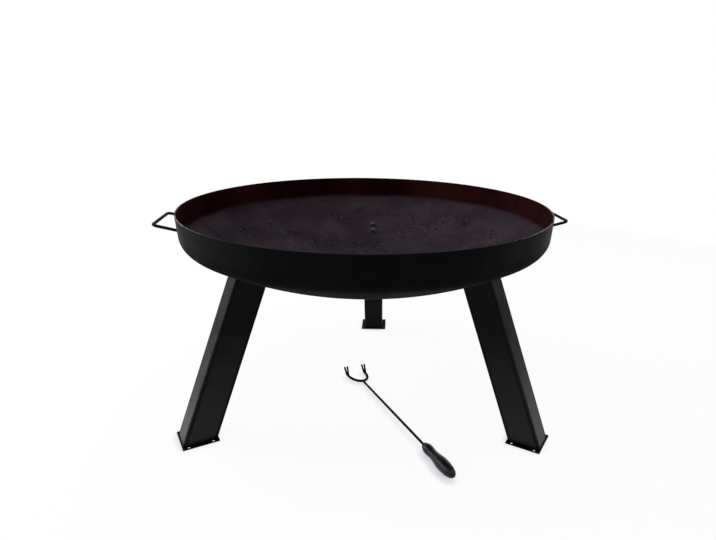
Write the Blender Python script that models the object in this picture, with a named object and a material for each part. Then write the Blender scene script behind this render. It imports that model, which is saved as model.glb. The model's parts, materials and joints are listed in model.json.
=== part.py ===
# Fire bowl: a spun steel bowl with two rod handles on three bolted box legs, and its poker on the ground.
# Metres, +Z up. The origin lies on the ground under the middle of the whole box; the rear leg is at +Y.
import math

import bmesh
import bpy
from mathutils import Vector

# Bowl
RIM_RADIUS = 0.405
RIM_HEIGHT = 0.470
SHELL = 0.0025
RIM_EDGE_ROUND = 0.0006
BAND_DEPTH = 0.044
BAND_TAPER = 0.0033
KNUCKLE_RADIUS = 0.036
DISH_RADIUS = 0.775

# Legs, each square to the dish where it is bolted
LEG_SEAT_RADIUS = 0.2764
LEG_DEEP = 0.0655
LEG_WIDE = 0.054
LEG_WALL = 0.002
LEG_CORNER = 0.0024
TOP_PLATE = 0.004
FOOT_PLATE = 0.0025
FOOT_SIZE = 0.074
FOOT_CORNER = 0.0015
PEG_HOLE = 0.0065
PEG_HOLE_EDGE = 0.0125

# Bolts that hold the legs, two to a leg
BOLT_SPACING = 0.030
BOLT_DIAMETER = 0.008
BOLT_LENGTH = 0.020
BOLT_CHAMFER = 0.0008
HEAD_ACROSS = 0.013
HEAD_CROWN = 0.0122
HEAD_HEIGHT = 0.0053
WASHER_DIAMETER = 0.016
WASHER_THICKNESS = 0.0016
NUT_ACROSS = 0.013
NUT_HEIGHT = 0.0065
HOLE_CLEARANCE = 0.0005

# Handles, bent from round rod and welded to the band
HANDLE_ROD = 0.0065
HANDLE_WIDTH = 0.122
HANDLE_REACH = 0.0440
HANDLE_BEND = 0.010
HANDLE_DROP = 0.0402
HANDLE_RISE = math.radians(14.0)
HANDLE_TURN = math.radians(6.8)
WELD_LENGTH = 0.005
WELD_SHOULDER = 0.002
WELD_SHOULDER_SWELL = 1.2
WELD_SWELL = 1.5

# Poker: round rod, a bow with split and turned-up ends, and a turned grip
POKER_ROD = 0.0056
POKER_ROD_LENGTH = 0.372
POKER_HEADING = math.radians(-62.7)
POKER_ROLL = math.radians(-4.5)
POKER_FORK_X = -0.0148
POKER_FORK_Y = 0.0327
BOW_ROD = 0.0066
BOW_WIDTH = 0.0486
BOW_DEPTH = 0.0385
PRONG_LENGTH = 0.0262
PRONG_ROOT = 0.004
PRONG_START = 0.001
PRONG_BEND = 0.008
PRONG_RISE = math.radians(48.0)
PRONG_ROD = 0.0048
PRONG_SPREAD = 0.0074
PRONG_ROOT_SPREAD = 0.0018
GRIP_START = 0.3138
FERRULE_LENGTH = 0.0045
FERRULE_WALL = 0.0014
FERRULE_LIP = 0.0015
NOSE_RADIUS = 0.0059
GRIP_SHOULDER = 0.0088
GRIP_BULGE = 0.0109
GRIP_BULGE_AT = 0.0147
GRIP_NECK = 0.0098
GRIP_NECK_AT = 0.0313
GRIP_BELLY = 0.0132
GRIP_BELLY_AT = 0.0697
GRIP_LENGTH = 0.1094
GRIP_END_POWER = 2.0 / 2.3

# Clearances, and how far a drill runs past the sheet that it cuts
GAP = 0.0003
FACET_GAP = 0.0004
DRILL_OVERRUN = 0.010

# How finely curves are drawn
TURN_STEPS = 64
KNUCKLE_STEPS = 5
DISH_STEPS = 12
ROD_SIDES = 8
ROD_BEND_STEPS = 4
CORNER_STEPS = 3
BOW_STEPS = 8
PRONG_STEPS = 5
GRIP_STEPS = 4
GRIP_END_STEPS = 6
SMALL_STEPS = 12
SMOOTH_ANGLE = math.radians(38.0)

# Finishes: colour, roughness and metallic value
FINISHES = {
    "black_coat": ((0.012, 0.012, 0.013, 1.0), 0.55, 0.0),
    "dark_bolt": ((0.05, 0.05, 0.052, 1.0), 0.40, 1.0),
    "zinc": ((0.45, 0.46, 0.48, 1.0), 0.35, 1.0),
    "black_rod": ((0.014, 0.014, 0.015, 1.0), 0.45, 0.0),
    "black_grip": ((0.018, 0.018, 0.024, 1.0), 0.35, 0.0),
}

# The knuckle is tangent to the band above it and to the dish below it
BAND_LEAN = math.atan2(BAND_TAPER, BAND_DEPTH)
KNUCKLE_R = RIM_RADIUS - BAND_TAPER - KNUCKLE_RADIUS * math.cos(BAND_LEAN)
KNUCKLE_Z = RIM_HEIGHT - BAND_DEPTH + KNUCKLE_RADIUS * math.sin(BAND_LEAN)
DISH_CENTRE_Z = KNUCKLE_Z + math.sqrt((DISH_RADIUS - KNUCKLE_RADIUS) ** 2 - KNUCKLE_R ** 2)
DISH_EDGE_ANGLE = math.atan2(KNUCKLE_Z - DISH_CENTRE_Z, KNUCKLE_R)

# A leg stands square to the dish, so its lean follows from where it is bolted
LEG_LEAN = math.asin(LEG_SEAT_RADIUS / DISH_RADIUS)
LEG_SEAT_Z = DISH_CENTRE_Z - math.sqrt(DISH_RADIUS ** 2 - LEG_SEAT_RADIUS ** 2)
LEG_FOOT_RADIUS = LEG_SEAT_RADIUS + (LEG_SEAT_Z - FOOT_PLATE) * math.tan(LEG_LEAN)
TUBE_TOP = -(2.0 * GAP + TOP_PLATE)
LEG_ANGLES = {"rear": math.radians(90.0), "left": math.radians(210.0), "right": math.radians(330.0)}

# A leg's two bolts stand in a row along its deep side, one nearer the bowl's axis than the other
BOLT_PLACES = {"inner": -BOLT_SPACING / 2.0, "outer": BOLT_SPACING / 2.0}
BOLT_HOLE = BOLT_DIAMETER + 2.0 * HOLE_CLEARANCE

# Height of the washers above a leg's seat: on the dish's inside, clear of its flat facets
WASHER_REACH = (BOLT_SPACING + WASHER_DIAMETER) / 2.0
WASHER_SEAT = SHELL + WASHER_REACH ** 2 / (2.0 * (DISH_RADIUS - SHELL)) + GAP + FACET_GAP
HEAD_SEAT = WASHER_SEAT + WASHER_THICKNESS + GAP

# The box reaches from the rim in front to the rear foot plate behind, and its middle is the origin
BOWL_AXIS_Y = (RIM_RADIUS - LEG_FOOT_RADIUS - FOOT_SIZE / 2.0) / 2.0

# The poker rests on the belly of its grip and on the underside of its bow
POKER_REST_SPAN = GRIP_START + GRIP_BELLY_AT + BOW_DEPTH
FORK_REST = BOW_ROD / 2.0 + BOW_WIDTH / 2.0 * math.sin(abs(POKER_ROLL))
POKER_LEAN = math.asin((GRIP_BELLY - FORK_REST) / POKER_REST_SPAN)
POKER_FORK_Z = GAP + FORK_REST / math.cos(POKER_LEAN) + BOW_DEPTH * math.tan(POKER_LEAN)


def clear_scene():
    for old in list(bpy.data.objects):
        bpy.data.objects.remove(old, do_unlink=True)


def finish(name):
    """The named finish as a material, made once."""
    if name in bpy.data.materials:
        return bpy.data.materials[name]
    colour, roughness, metallic = FINISHES[name]
    material = bpy.data.materials.new(name)
    material.use_nodes = True
    shader = material.node_tree.nodes["Principled BSDF"]
    shader.inputs["Base Color"].default_value = colour
    shader.inputs["Roughness"].default_value = roughness
    shader.inputs["Metallic"].default_value = metallic
    material.diffuse_color = colour
    return material


def frame(name, location, rotation, parent=None):
    """An empty that carries the pieces placed in its own axes."""
    empty = bpy.data.objects.new(name, None)
    bpy.context.collection.objects.link(empty)
    empty.parent = parent
    empty.location = location
    empty.rotation_euler = rotation
    return empty


def piece(name, bm, material, parent, location=(0.0, 0.0, 0.0), rotation=(0.0, 0.0, 0.0)):
    """Turn a finished bmesh into a named object on its carrier."""
    bmesh.ops.recalc_face_normals(bm, faces=bm.faces)
    mesh = bpy.data.meshes.new(name)
    bm.to_mesh(mesh)
    bm.free()
    mesh.shade_smooth()
    mesh.set_sharp_from_angle(angle=SMOOTH_ANGLE)
    mesh.materials.append(finish(material))
    obj = bpy.data.objects.new(name, mesh)
    bpy.context.collection.objects.link(obj)
    obj.parent = parent
    obj.location = location
    obj.rotation_euler = rotation
    return obj


def boolean(obj, helper, operation):
    """Cut or join obj with a helper, which isn't a piece of the model itself."""
    helper.hide_render = True
    helper.display_type = "WIRE"
    modifier = obj.modifiers.new(operation.lower(), "BOOLEAN")
    modifier.operation = operation
    modifier.solver = "EXACT"
    modifier.object = helper


def arc(centre, radius, start, end, steps):
    """Points along an arc in a plane, both ends included."""
    angles = [start + (end - start) * i / steps for i in range(steps + 1)]
    return [(centre[0] + radius * math.cos(a), centre[1] + radius * math.sin(a)) for a in angles]


def circle(radius, steps, centre=(0.0, 0.0)):
    return arc(centre, radius, 0.0, 2.0 * math.pi * (steps - 1) / steps, steps - 1)


def rounded_rectangle(length_x, length_y, radius):
    points = []
    for quarter, (sx, sy) in enumerate(((1, 1), (-1, 1), (-1, -1), (1, -1))):
        corner = (sx * (length_x / 2.0 - radius), sy * (length_y / 2.0 - radius))
        start = quarter * math.pi / 2.0
        points += arc(corner, radius, start, start + math.pi / 2.0, CORNER_STEPS)
    return points


def add_loop(bm, outline, z=0.0):
    """A closed loop of edges through the outline's points."""
    verts = [bm.verts.new((x, y, z)) for x, y in outline]
    return [bm.edges.new((verts[i - 1], verts[i])) for i in range(len(verts))]


def plate(outline, holes, low, high):
    """A flat plate from low to high, with its holes cut right through."""
    bm = bmesh.new()
    edges = add_loop(bm, outline, low)
    for hole in holes:
        edges += add_loop(bm, hole, low)
    bmesh.ops.triangle_fill(bm, edges=edges, use_beauty=True, normal=(0.0, 0.0, 1.0))
    extruded = bmesh.ops.extrude_face_region(bm, geom=bm.faces[:])
    raised = [item for item in extruded["geom"] if isinstance(item, bmesh.types.BMVert)]
    bmesh.ops.translate(bm, verts=raised, vec=(0.0, 0.0, high - low))
    return bm


def turned(section, steps):
    """Spin a closed (radius, height) section about Z; points on the axis merge into one."""
    bm = bmesh.new()
    verts = [bm.verts.new((r, 0.0, z)) for r, z in section]
    pairs = zip(verts, verts[1:] + verts[:1])
    edges = [bm.edges.new(pair) for pair in pairs if pair[0].co.x > 0.0 or pair[1].co.x > 0.0]
    bmesh.ops.spin(bm, geom=verts + edges, axis=(0.0, 0.0, 1.0), cent=(0.0, 0.0, 0.0),
                   dvec=(0.0, 0.0, 0.0), angle=2.0 * math.pi, steps=steps, use_merge=True)
    bmesh.ops.remove_doubles(bm, verts=bm.verts, dist=1e-6)
    return bm


def swept(paths, diameter, swells=None):
    """Round rod bent along each path; swells scale its thickness point by point."""
    curve = bpy.data.curves.new("rod_path", "CURVE")
    curve.dimensions = "3D"
    curve.bevel_depth = diameter / 2.0
    curve.bevel_resolution = (ROD_SIDES - 4) // 2
    curve.use_fill_caps = True
    for path in paths:
        spline = curve.splines.new("POLY")
        spline.points.add(len(path) - 1)
        for i, place in enumerate(path):
            spline.points[i].co = (*place, 1.0)
            spline.points[i].radius = swells[i] if swells else 1.0
    carrier = bpy.data.objects.new("rod_path", curve)
    mesh = bpy.data.meshes.new_from_object(carrier)
    bpy.data.objects.remove(carrier, do_unlink=True)
    bm = bmesh.new()
    bm.from_mesh(mesh)
    bpy.data.meshes.remove(mesh)
    bmesh.ops.remove_doubles(bm, verts=bm.verts, dist=1e-6)
    return bm


def bowl_outline(offset):
    """The bowl's outer section from rim to bottom, moved outward by offset."""
    lean_r = math.cos(BAND_LEAN) * offset
    lean_z = math.sin(BAND_LEAN) * offset
    foot = (RIM_RADIUS - BAND_TAPER + lean_r, RIM_HEIGHT - BAND_DEPTH - lean_z)
    rim = (foot[0] + (RIM_HEIGHT - foot[1]) * math.tan(BAND_LEAN), RIM_HEIGHT)
    knuckle_centre = (KNUCKLE_R, KNUCKLE_Z)
    dish_centre = (0.0, DISH_CENTRE_Z)
    knuckle = arc(knuckle_centre, KNUCKLE_RADIUS + offset, -BAND_LEAN, DISH_EDGE_ANGLE, KNUCKLE_STEPS)
    dish = arc(dish_centre, DISH_RADIUS + offset, DISH_EDGE_ANGLE, -math.pi / 2.0, DISH_STEPS)
    return [rim] + knuckle + dish[1:-1] + [(0.0, DISH_CENTRE_Z - DISH_RADIUS - offset)]


def bowl_section():
    """The shell's closed section, with the sheet's edge rounded off at the rim."""
    outer = bowl_outline(0.0)
    inner = bowl_outline(-SHELL)
    top = RIM_HEIGHT - RIM_EDGE_ROUND
    outer_edge = [(outer[0][0] - RIM_EDGE_ROUND, RIM_HEIGHT), (outer[0][0], top)]
    inner_edge = [(inner[0][0], top), (inner[0][0] + RIM_EDGE_ROUND, RIM_HEIGHT)]
    return list(reversed(inner[1:])) + inner_edge + outer_edge + outer[1:]


def leg_seats(bowl_axis):
    """A frame for each leg: origin on the dish's outside, Z up along the leg, X away from the axis."""
    seats = {}
    for side, angle in LEG_ANGLES.items():
        place = (LEG_SEAT_RADIUS * math.cos(angle), LEG_SEAT_RADIUS * math.sin(angle), LEG_SEAT_Z)
        seats[side] = frame(side + "_leg_seat", place, (0.0, -LEG_LEAN, angle), bowl_axis)
    return seats


def make_bowl(bowl_axis, seats):
    bowl = piece("bowl", turned(bowl_section(), TURN_STEPS), "black_coat", bowl_axis)
    for side, seat in seats.items():
        for name, x in BOLT_PLACES.items():
            outline = circle(BOLT_HOLE / 2.0, SMALL_STEPS, (x, 0.0))
            drill = plate(outline, [], -DRILL_OVERRUN, SHELL + DRILL_OVERRUN)
            boolean(bowl, piece("%s_%s_drill" % (side, name), drill, "zinc", seat), "DIFFERENCE")


def make_handle(side, angle, bowl_axis, band_cutter):
    """A rod loop that slopes up from the band; its welded ends are coped to the band's curve."""
    place = (RIM_RADIUS * math.cos(angle), RIM_RADIUS * math.sin(angle), RIM_HEIGHT - HANDLE_DROP)
    carrier = frame(side + "_handle_seat", place, (0.0, -HANDLE_RISE, angle), bowl_axis)
    half = HANDLE_WIDTH / 2.0
    inside = -(RIM_RADIUS - math.sqrt(RIM_RADIUS ** 2 - half ** 2)) - BAND_TAPER - SHELL
    wall = inside + SHELL
    bend_centre = (HANDLE_REACH - HANDLE_BEND, half - HANDLE_BEND)
    bend = arc(bend_centre, HANDLE_BEND, 0.0, math.pi / 2.0, ROD_BEND_STEPS)
    ends = [(wall + WELD_LENGTH, half), (wall + WELD_SHOULDER, half), (wall, half), (inside, half)]
    half_path = bend + ends
    path = [(x, -y, 0.0) for x, y in reversed(half_path)] + [(x, y, 0.0) for x, y in half_path]
    half_swell = [1.0] * (len(bend) + 1) + [WELD_SHOULDER_SWELL, WELD_SWELL, WELD_SWELL]
    swells = list(reversed(half_swell)) + half_swell
    handle = piece(side + "_handle", swept([path], HANDLE_ROD, swells), "black_coat", carrier)
    boolean(handle, band_cutter, "DIFFERENCE")


def make_handles(bowl_axis):
    lid = [(0.0, RIM_HEIGHT)]
    band_cutter = piece("band_cutter", turned(lid + bowl_outline(GAP), TURN_STEPS), "zinc", bowl_axis)
    make_handle("right", HANDLE_TURN, bowl_axis, band_cutter)
    make_handle("left", HANDLE_TURN + math.pi, bowl_axis, band_cutter)


def leg_tube():
    """Square-cut at the top; mitred at the bottom so that it stands flat on its foot plate."""
    outer = rounded_rectangle(LEG_DEEP, LEG_WIDE, LEG_CORNER)
    inner = rounded_rectangle(LEG_DEEP - 2.0 * LEG_WALL, LEG_WIDE - 2.0 * LEG_WALL, LEG_CORNER - LEG_WALL)
    bottom = -LEG_SEAT_Z
    bm = plate(outer, [inner], bottom, TUBE_TOP)
    ground = LEG_SEAT_Z - FOOT_PLATE - GAP
    for vert in bm.verts:
        if vert.co.z < (bottom + TUBE_TOP) / 2.0:
            vert.co.z = -(ground + vert.co.x * math.sin(LEG_LEAN)) / math.cos(LEG_LEAN)
    return bm


def hex_outline(across):
    """A hexagon with a point at each corner and in the middle of each flat."""
    corner = across / math.sqrt(3.0)
    points = []
    for i in range(SMALL_STEPS):
        radius = corner if i % 2 == 0 else across / 2.0
        angle = 2.0 * math.pi * i / SMALL_STEPS
        points.append((radius * math.cos(angle), radius * math.sin(angle)))
    return points


def bolt():
    """Hexagon head with a chamfered top on a plain shank whose end is chamfered."""
    shank = BOLT_DIAMETER / 2.0
    top = HEAD_SEAT + HEAD_HEIGHT
    end = HEAD_SEAT - BOLT_LENGTH
    head = hex_outline(HEAD_ACROSS)
    rings = [(circle(HEAD_CROWN / 2.0, SMALL_STEPS), top), (head, top - BOLT_CHAMFER), (head, HEAD_SEAT),
             (circle(shank, SMALL_STEPS), HEAD_SEAT), (circle(shank, SMALL_STEPS), end + BOLT_CHAMFER),
             (circle(shank - BOLT_CHAMFER, SMALL_STEPS), end)]
    bm = bmesh.new()
    loops = [[bm.verts.new((x, y, z)) for x, y in ring] for ring, z in rings]
    for upper, lower in zip(loops, loops[1:]):
        for i in range(SMALL_STEPS):
            bm.faces.new((upper[i - 1], upper[i], lower[i], lower[i - 1]))
    bm.faces.new(loops[0])
    bm.faces.new(reversed(loops[-1]))
    return bm


def bolt_ring(outline, low, thickness):
    """A washer or a nut around a bolt."""
    hole = circle(BOLT_DIAMETER / 2.0 + GAP, SMALL_STEPS)
    return plate(outline, [hole], low, low + thickness)


def make_fastenings(side, seat):
    """Bolt, washer and weld nut at each of a leg's two holes."""
    for name, x in BOLT_PLACES.items():
        place = (x, 0.0, 0.0)
        washer = bolt_ring(circle(WASHER_DIAMETER / 2.0, 2 * SMALL_STEPS), WASHER_SEAT, WASHER_THICKNESS)
        nut = bolt_ring(hex_outline(NUT_ACROSS), TUBE_TOP - NUT_HEIGHT, NUT_HEIGHT)
        piece("%s_leg_%s_bolt" % (side, name), bolt(), "dark_bolt", seat, place)
        piece("%s_leg_%s_washer" % (side, name), washer, "zinc", seat, place)
        piece("%s_leg_%s_weld_nut" % (side, name), nut, "zinc", seat, place)


def make_leg(side, seat, bowl_axis):
    """Tube with its top plate, standing on its foot plate."""
    angle = LEG_ANGLES[side]
    piece(side + "_leg_tube", leg_tube(), "black_coat", seat)
    holes = [circle(BOLT_HOLE / 2.0, SMALL_STEPS, (x, 0.0)) for x in BOLT_PLACES.values()]
    top = plate(rounded_rectangle(LEG_DEEP, LEG_WIDE, LEG_CORNER), holes, TUBE_TOP + GAP, -GAP)
    piece(side + "_leg_top_plate", top, "black_coat", seat)

    along = FOOT_SIZE / 2.0 - PEG_HOLE_EDGE
    across = (FOOT_SIZE + LEG_WIDE) / 4.0
    holes = [circle(PEG_HOLE / 2.0, SMALL_STEPS, (x, y)) for x in (-along, along) for y in (-across, across)]
    foot = plate(rounded_rectangle(FOOT_SIZE, FOOT_SIZE, FOOT_CORNER), holes, 0.0, FOOT_PLATE)
    foot_place = (LEG_FOOT_RADIUS * math.cos(angle), LEG_FOOT_RADIUS * math.sin(angle), 0.0)
    piece(side + "_foot_plate", foot, "black_coat", bowl_axis, foot_place, (0.0, 0.0, angle))


def fork_bow_half(side):
    """Half of the bow in the poker's own axes, from the rod's end forward; side is 1 or -1."""
    points = []
    for i in range(1, BOW_STEPS + 1):
        angle = math.pi / 2.0 * i / BOW_STEPS
        forward = BOW_DEPTH * (1.0 - math.cos(angle))
        points.append((-forward, side * BOW_WIDTH / 2.0 * math.sin(angle), 0.0))
    return points


def prong_point(side, along, spread):
    """A point on a prong that bends up and then runs straight, some way along from the bow's end."""
    bent = min(along / PRONG_BEND, PRONG_RISE)
    straight = along - bent * PRONG_BEND
    forward = PRONG_BEND * math.sin(bent) + straight * math.cos(bent)
    up = PRONG_BEND * (1.0 - math.cos(bent)) + straight * math.sin(bent)
    return (-BOW_DEPTH - forward, side * BOW_WIDTH / 2.0 + spread, up)


def prong_path(side, lean):
    """One of the two prongs of a branch, which lean apart from near the branch's end."""
    points = []
    for i in range(PRONG_STEPS + 1):
        share = i / PRONG_STEPS
        spread = PRONG_ROOT_SPREAD + (PRONG_SPREAD - PRONG_ROOT_SPREAD) * math.sqrt(share)
        along = PRONG_START + (PRONG_LENGTH - PRONG_START) * share
        points.append(prong_point(side, along, side * lean * spread / 2.0))
    return points


def make_fork(poker_axis):
    """The bow butts on the rod's end; each of its ends turns up and is split into two prongs."""
    halves = []
    for side in (1, -1):
        bend = [prong_point(side, PRONG_ROOT * share, 0.0) for share in (0.5, 1.0)]
        halves.append(fork_bow_half(side) + bend)
    path = list(reversed(halves[1])) + [(0.0, 0.0, 0.0)] + halves[0]
    fork = piece("poker_fork", swept([path], BOW_ROD), "black_rod", poker_axis)
    for name, lean in (("outer", 1.0), ("inner", -1.0)):
        paths = [prong_path(side, lean) for side in (1, -1)]
        prongs = piece(name + "_prongs", swept(paths, PRONG_ROD), "black_rod", poker_axis)
        boolean(fork, prongs, "UNION")


def smooth_step(start, end, share):
    """A value between start and end that leaves both ends level."""
    return start + (end - start) * (1.0 - math.cos(math.pi * share)) / 2.0


def grip_section():
    """Closed section of the grip: nose in the ferrule, bulge, neck, belly, round end, and the rod's bore."""
    bore = POKER_ROD / 2.0 + GAP
    bore_end = POKER_ROD_LENGTH - GRIP_START + GAP
    shoulder_at = FERRULE_LENGTH + GAP
    section = [(bore, 0.0), (NOSE_RADIUS, 0.0), (NOSE_RADIUS, shoulder_at)]
    front = GRIP_BULGE_AT - shoulder_at
    for i in range(GRIP_STEPS + 1):
        angle = math.pi / 2.0 * i / GRIP_STEPS
        section.append((GRIP_SHOULDER + (GRIP_BULGE - GRIP_SHOULDER) * math.sin(angle),
                        GRIP_BULGE_AT - front * math.cos(angle)))
    for start_at, start, end_at, end in ((GRIP_BULGE_AT, GRIP_BULGE, GRIP_NECK_AT, GRIP_NECK),
                                         (GRIP_NECK_AT, GRIP_NECK, GRIP_BELLY_AT, GRIP_BELLY)):
        for i in range(1, GRIP_STEPS + 1):
            share = i / GRIP_STEPS
            section.append((smooth_step(start, end, share), start_at + (end_at - start_at) * share))
    tail = GRIP_LENGTH - GRIP_BELLY_AT
    for i in range(1, GRIP_END_STEPS):
        angle = math.pi / 2.0 * i / GRIP_END_STEPS
        section.append((GRIP_BELLY * math.cos(angle) ** GRIP_END_POWER,
                        GRIP_BELLY_AT + tail * math.sin(angle) ** GRIP_END_POWER))
    return section + [(0.0, GRIP_LENGTH), (0.0, bore_end), (bore, bore_end)]


def along_rod(bm):
    """Lay a piece that was turned about Z along the poker's X axis."""
    bmesh.ops.rotate(bm, verts=bm.verts, cent=(0.0, 0.0, 0.0),
                     matrix=Vector((0.0, 0.0, 1.0)).rotation_difference(Vector((1.0, 0.0, 0.0))).to_matrix())
    return bm


def make_poker(bowl_axis):
    """The poker's frame has its origin where rod and fork meet, and its X axis along the rod to the grip."""
    place = (POKER_FORK_X, POKER_FORK_Y, POKER_FORK_Z)
    poker_axis = frame("poker_axis", place, (POKER_ROLL, -POKER_LEAN, POKER_HEADING), bowl_axis)
    rod_start = BOW_ROD / 2.0 + GAP
    rod = plate(circle(POKER_ROD / 2.0, SMALL_STEPS), [], rod_start, POKER_ROD_LENGTH)
    piece("poker_rod", along_rod(rod), "black_rod", poker_axis)
    make_fork(poker_axis)

    ferrule_in = NOSE_RADIUS + GAP
    ferrule_out = ferrule_in + FERRULE_WALL
    bore = POKER_ROD / 2.0 + GAP
    section = [(bore, -FERRULE_LIP), (ferrule_out - FERRULE_LIP / 2.0, -FERRULE_LIP), (ferrule_out, 0.0),
               (ferrule_out, FERRULE_LENGTH), (ferrule_in, FERRULE_LENGTH), (ferrule_in, -GAP), (bore, -GAP)]
    grip_place = (GRIP_START, 0.0, 0.0)
    ferrule = along_rod(turned(section, 2 * SMALL_STEPS))
    grip = along_rod(turned(grip_section(), 2 * SMALL_STEPS))
    piece("poker_ferrule", ferrule, "dark_bolt", poker_axis, grip_place)
    piece("poker_grip", grip, "black_grip", poker_axis, grip_place)


def main():
    clear_scene()
    bowl_axis = frame("bowl_axis", (0.0, BOWL_AXIS_Y, 0.0), (0.0, 0.0, 0.0))
    seats = leg_seats(bowl_axis)
    make_bowl(bowl_axis, seats)
    make_handles(bowl_axis)
    for side, seat in seats.items():
        make_leg(side, seat, bowl_axis)
        make_fastenings(side, seat)
    make_poker(bowl_axis)


main()
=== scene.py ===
import json
import math

import bmesh
import bpy
from mathutils import Matrix, Vector, noise


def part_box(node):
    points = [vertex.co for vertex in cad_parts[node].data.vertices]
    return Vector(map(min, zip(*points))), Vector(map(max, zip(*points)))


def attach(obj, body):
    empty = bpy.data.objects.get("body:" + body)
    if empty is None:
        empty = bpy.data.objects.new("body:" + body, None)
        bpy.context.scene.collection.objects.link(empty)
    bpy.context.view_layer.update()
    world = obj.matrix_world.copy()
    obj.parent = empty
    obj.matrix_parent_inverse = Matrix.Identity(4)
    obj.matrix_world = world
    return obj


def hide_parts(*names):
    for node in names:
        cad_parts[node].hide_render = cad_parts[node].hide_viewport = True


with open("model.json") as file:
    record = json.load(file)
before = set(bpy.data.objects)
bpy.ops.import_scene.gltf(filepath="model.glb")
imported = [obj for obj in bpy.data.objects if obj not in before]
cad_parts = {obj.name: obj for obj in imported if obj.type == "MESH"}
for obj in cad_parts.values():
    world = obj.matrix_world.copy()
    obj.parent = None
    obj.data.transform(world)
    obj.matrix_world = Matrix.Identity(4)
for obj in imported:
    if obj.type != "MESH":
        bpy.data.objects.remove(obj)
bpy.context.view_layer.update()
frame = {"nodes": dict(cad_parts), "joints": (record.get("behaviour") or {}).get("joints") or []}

# Bowl, in its own axes: Z is the bowl's axis
bowl_low, bowl_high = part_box("bowl")
BOWL_AXIS_Y = (bowl_low.y + bowl_high.y) / 2.0
RIM_RADIUS = bowl_high.x
RIM_HEIGHT = bowl_high.z
SHELL = 0.0025
RIM_EDGE_ROUND = 0.0007
BAND_DEPTH = 0.044
BAND_TAPER = 0.0033
KNUCKLE_RADIUS = 0.036
DISH_RADIUS = 0.775
DRILL_DEPTH = 8.0 * SHELL

# Legs
LEG_SEAT_RADIUS = 0.2764
LEG_DEEP = 0.0655
LEG_WIDE = 0.054
LEG_WALL = 0.002
LEG_CORNER = 0.0024
TOP_PLATE = 0.004
FOOT_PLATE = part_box("left_foot_plate")[1].z
FOOT_SIZE = 0.074
FOOT_CORNER = 0.0015
FOOT_EDGE = 0.0004
FOOT_EDGE_STEPS = 2
FOOT_EDGE_ANGLE = math.radians(50.0)
PEG_HOLE = 0.0065
PEG_HOLE_EDGE = 0.0125
LEG_ANGLES = {"rear": math.radians(90.0), "left": math.radians(210.0), "right": math.radians(330.0)}
BOLT_SPACING = 0.030
BOLT_HOLE = 0.009
GAP = 0.0003

# Handles; the reach is 0.2 mm less than the solid's, because a round rod bulges past the solid's flat facets
HANDLE_ROD = 0.0065
HANDLE_WIDTH = 0.122
HANDLE_REACH = 0.0438
HANDLE_BEND = 0.010
HANDLE_DROP = 0.0402
HANDLE_RISE = math.radians(14.0)
HANDLE_TURN = math.radians(6.8)

# Poker, in its own axes: X runs along the rod from the fork to the grip
POKER_ROD = 0.0056
POKER_ROD_LENGTH = 0.372
POKER_ROLL = math.radians(-4.5)
BOW_ROD = 0.0066
BOW_WIDTH = 0.0486
BOW_DEPTH = 0.0385
PRONG_LENGTH = 0.0262
PRONG_ROOT = 0.004
PRONG_START = 0.001
PRONG_BEND = 0.008
PRONG_RISE = math.radians(48.0)
PRONG_ROD = 0.0048
PRONG_SPREAD = 0.0074
PRONG_ROOT_SPREAD = 0.0018
GRIP_START = 0.3138
FERRULE_LENGTH = 0.0045
FERRULE_WALL = 0.0014
FERRULE_LIP = 0.0015
NOSE_RADIUS = 0.0059
GRIP_SHOULDER = 0.0088
GRIP_BULGE = 0.0109
GRIP_BULGE_AT = 0.0147
GRIP_NECK = 0.0098
GRIP_NECK_AT = 0.0313
GRIP_BELLY = 0.0132
GRIP_BELLY_AT = 0.0697
GRIP_LENGTH = 0.1094
GRIP_END_POWER = 2.0 / 2.3

# Weld beads: their radius, the length and depth of one ripple, and how uneven they are
LEG_BEAD = 0.0014
HANDLE_BEAD = 0.0017
RIPPLE_LENGTH = 0.0021
RIPPLE_DEPTH = 0.16
UNEVENNESS = 0.12
UNEVEN_PLACES = 160.0

# Weld beads: where their middle lies, in shares of their radius, off the seam that they fill
FOOT_BEAD_UP = 0.35
HANDLE_BEAD_OUT = 0.2
HANDLE_BEAD_ROUND = 0.25

# Fineness: steps along an outline, and sides round a turned or swept piece
TURN_STEPS = 288
RIM_EDGE_STEPS = 4
BAND_STEPS = 6
KNUCKLE_STEPS = 14
DISH_STEPS = 44
CORNER_STEPS = 6
BOLT_HOLE_SIDES = 32
PEG_HOLE_SIDES = 28
HANDLE_SIDES = 24
HANDLE_BEND_STEPS = 12
HANDLE_END_STEPS = 8
HANDLE_BAR_STEPS = 16
BEAD_SIDES = 12
HANDLE_BEAD_STEPS = 96
RIPPLE_STEPS = 5
FORK_SIDES = 20
BOW_STEPS = 24
PRONG_ROOT_STEPS = 6
PRONG_STEPS = 16
SHAFT_SIDES = 32
SHAFT_STEPS = 40
COLLAR_SIDES = 48
LIP_STEPS = 6
GRIP_SIDES = 64
GRIP_FRONT_STEPS = 14
GRIP_WAVE_STEPS = 16
GRIP_TAIL_STEPS = 24
SMOOTH_ANGLE = math.radians(38.0)

# A flat keeps a support point this share of the corner's radius away from each round
SUPPORT_SHARE = 0.35

# Fork: the rod starts this share of the bow's radius from its middle; the prongs have these shares of their
# full radius at the first two points and the last two; voxel size and rounds of smoothing where they join
ROD_STARTS = 0.4
PRONG_ENDS = {0: 0.6, 1: 0.9, PRONG_STEPS - 1: 0.97, PRONG_STEPS: 0.78}
FORGE_VOXEL = 0.00045
FORGE_SMOOTHING = 6

# The bowl's three finishes, by material slot: the edge's starts this far below the rim, in shares of its
# rounding, and what faces up by more than this is inside
OUTSIDE, INSIDE, EDGE = range(3)
EDGE_FINISH_REACH = 1.1
FACES_UP = 0.5

# Rubbed corners of the legs: the mesh attribute that marks them, and how strongly they show
CORNER_MARK = "corner"
CORNER_WEAR = 0.42

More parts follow.
